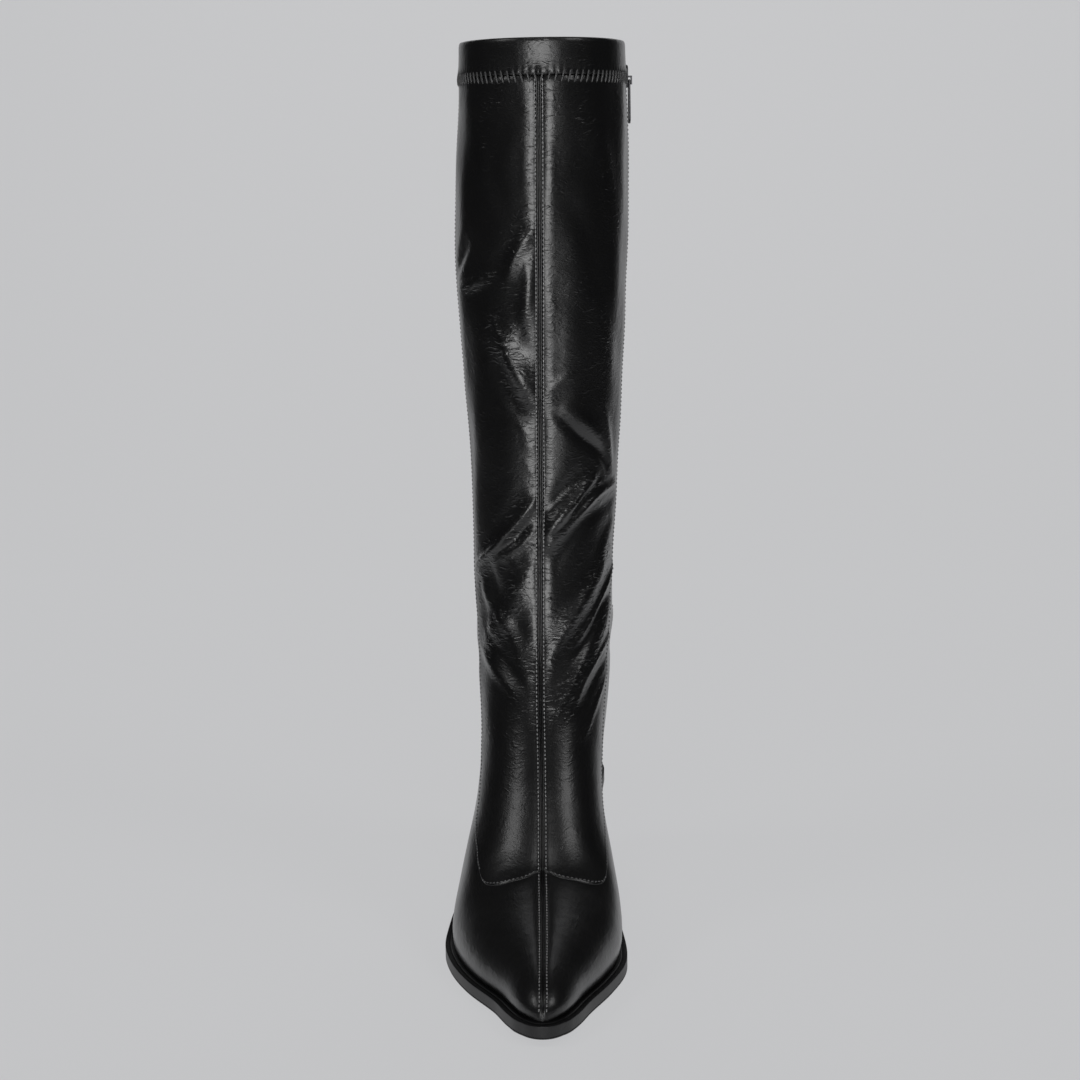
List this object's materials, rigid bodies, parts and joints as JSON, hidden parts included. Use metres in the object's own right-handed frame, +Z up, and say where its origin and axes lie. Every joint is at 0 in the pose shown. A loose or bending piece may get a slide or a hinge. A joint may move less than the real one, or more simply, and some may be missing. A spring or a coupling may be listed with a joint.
{
  "type": "knee-high boot",
  "caption": "Knee-high leather boot for the right foot, pointed toe, block heel, raised front seam and an inner side zip.",
  "frame": {"origin": "middle of the boot's box on the floor", "axes": "+Z up, the toe points to -Y, +X is the inner side of the right foot"},
  "size_m": [0.1012, 0.2952, 0.482],
  "materials": {
    "upper_leather": "smooth black leather, semi-gloss, fine grain",
    "band_leather": "smooth black leather, semi-gloss",
    "sole_rubber": "satin black edge",
    "heel_cover": "black leather over a block",
    "lift_rubber": "matt black",
    "insole_lining": "matt lining leather",
    "zip_fabric": "woven tape",
    "zip_teeth": "coil teeth",
    "zip_metal": "black lacquered",
    "pull_metal": "black lacquered"
  },
  "bodies": {
    "boot": {"upper": "upper_leather", "top_band": "band_leather", "outsole": "sole_rubber", "heel": "heel_cover", "heel_top_lift": "lift_rubber", "insole": "insole_lining", "zip_tape": "zip_fabric", "zip_chain": "zip_teeth", "zip_slider": "zip_metal"},
    "pull": {"zip_pull": "pull_metal"}
  },
  "joints": [
    {"name": "pull_hinge", "type": "hinge", "parent": "boot", "child": "pull", "pos_m": [0.04886, 0.09554, 0.4617], "axis": [0.1181, -0.993, 0], "range_deg": [0, 150]}
  ]
}
